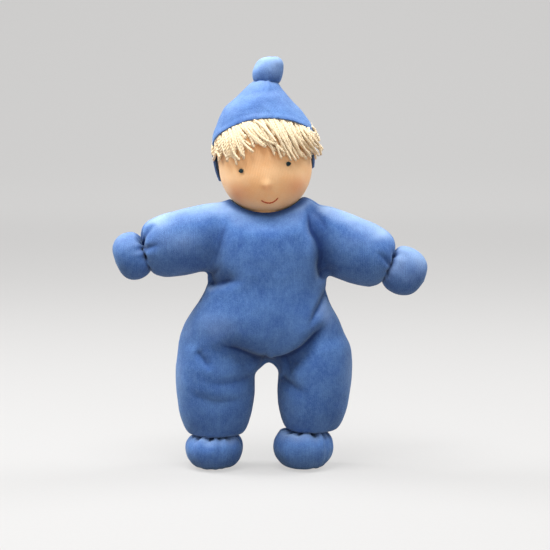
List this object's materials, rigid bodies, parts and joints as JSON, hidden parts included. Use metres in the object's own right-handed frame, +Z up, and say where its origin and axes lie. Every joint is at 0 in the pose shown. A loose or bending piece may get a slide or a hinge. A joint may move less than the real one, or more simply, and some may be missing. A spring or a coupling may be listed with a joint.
{
  "type": "waldorf doll",
  "caption": "Soft cloth doll in a one-piece velour suit with gathered hands and feet, a round head, a yarn fringe and a pointed hat with a tied tip.",
  "frame": {"origin": "on the floor under the middle of the standing doll", "axes": "+Z up along the doll's height, -Y the way it faces, +X to its own left"},
  "size_m": [0.2136, 0.0696, 0.2802],
  "materials": {
    "velour": "mid blue cotton velour with a pale sheen",
    "wool": "carded wool stuffing, undyed",
    "tricot": "skin-coloured cotton tricot with fine ribs",
    "yarn": "cream cotton yarn",
    "blue_thread": "blue sewing thread",
    "eye_thread": "dark blue-green embroidery thread",
    "mouth_thread": "red embroidery thread"
  },
  "bodies": {
    "torso": {"torso_cover": "velour", "torso_stuffing": "wool"},
    "neck": {"neck_stub": "tricot", "neck_tie": "blue_thread"},
    "head": {"head_skin": "tricot", "head_core": "wool", "nose_ball": "wool", "eye_left": "eye_thread", "eye_right": "eye_thread", "mouth": "mouth_thread", "hat": "velour", "hair_fringe": "yarn", "hat_tie": "blue_thread"},
    "tip": {"hat_tip": "velour", "hat_tip_wad": "wool"},
    "arm_left": {"sleeve_left": "velour", "arm_stuffing_left": "wool", "wrist_tie_left": "blue_thread"},
    "hand_left": {"hand_cover_left": "velour", "hand_wad_left": "wool"},
    "arm_right": {"sleeve_right": "velour", "arm_stuffing_right": "wool", "wrist_tie_right": "blue_thread"},
    "hand_right": {"hand_cover_right": "velour", "hand_wad_right": "wool"},
    "leg_left": {"leg_cover_left": "velour", "leg_stuffing_left": "wool", "ankle_tie_left": "blue_thread"},
    "foot_left": {"foot_cover_left": "velour", "foot_wad_left": "wool"},
    "leg_right": {"leg_cover_right": "velour", "leg_stuffing_right": "wool", "ankle_tie_right": "blue_thread"},
    "foot_right": {"foot_cover_right": "velour", "foot_wad_right": "wool"}
  },
  "joints": [
    {"name": "neck_turn", "type": "hinge", "parent": "torso", "child": "neck", "pos_m": [-0.0034, 0, 0.2052], "axis": [0, 0, 1], "range_deg": [-40, 40], "stiffness_Nm_per_rad": 0.06},
    {"name": "head_nod", "type": "hinge", "parent": "neck", "child": "head", "pos_m": [-0.0034, 0, 0.2052], "axis": [1, 0, 0], "range_deg": [-12, 15], "stiffness_Nm_per_rad": 0.2},
    {"name": "tip_flop", "type": "hinge", "parent": "head", "child": "tip", "pos_m": [-0.0022, 0.0015, 0.2616], "axis": [1, 0, 0], "range_deg": [-20, 12], "stiffness_Nm_per_rad": 0.01},
    {"name": "shoulder_left", "type": "hinge", "parent": "torso", "child": "arm_left", "pos_m": [0.034, 0, 0.1582], "axis": [0.3665, 0, 0.9304], "range_deg": [-45, 45], "stiffness_Nm_per_rad": 0.05},
    {"name": "wrist_left", "type": "hinge", "parent": "arm_left", "child": "hand_left", "pos_m": [0.08052, 0, 0.13987], "axis": [0, 1, 0], "range_deg": [-17, 7], "stiffness_Nm_per_rad": 0.02},
    {"name": "shoulder_right", "type": "hinge", "parent": "torso", "child": "arm_right", "pos_m": [-0.038, 0, 0.1594], "axis": [-0.2215, 0, 0.9752], "range_deg": [-45, 45], "stiffness_Nm_per_rad": 0.05},
    {"name": "wrist_right", "type": "hinge", "parent": "arm_right", "child": "hand_right", "pos_m": [-0.08529, 0, 0.14866], "axis": [0, 1, 0], "range_deg": [-2, 21], "stiffness_Nm_per_rad": 0.02},
    {"name": "hip_left", "type": "hinge", "parent": "torso", "child": "leg_left", "pos_m": [0.0303, 0, 0.077], "axis": [-1, 0, 0], "range_deg": [-15, 60], "stiffness_Nm_per_rad": 1.2},
    {"name": "ankle_left", "type": "hinge", "parent": "leg_left", "child": "foot_left", "pos_m": [0.02666, 0, 0.025], "axis": [-1, 0, 0], "range_deg": [-12, 12], "stiffness_Nm_per_rad": 1.2},
    {"name": "hip_right", "type": "hinge", "parent": "torso", "child": "leg_right", "pos_m": [-0.0373, 0, 0.077], "axis": [-1, 0, 0], "range_deg": [-15, 60], "stiffness_Nm_per_rad": 1.2},
    {"name": "ankle_right", "type": "hinge", "parent": "leg_right", "child": "foot_right", "pos_m": [-0.03682, 0, 0.022], "axis": [-1, 0, 0], "range_deg": [-12, 12], "stiffness_Nm_per_rad": 1.2}
  ]
}
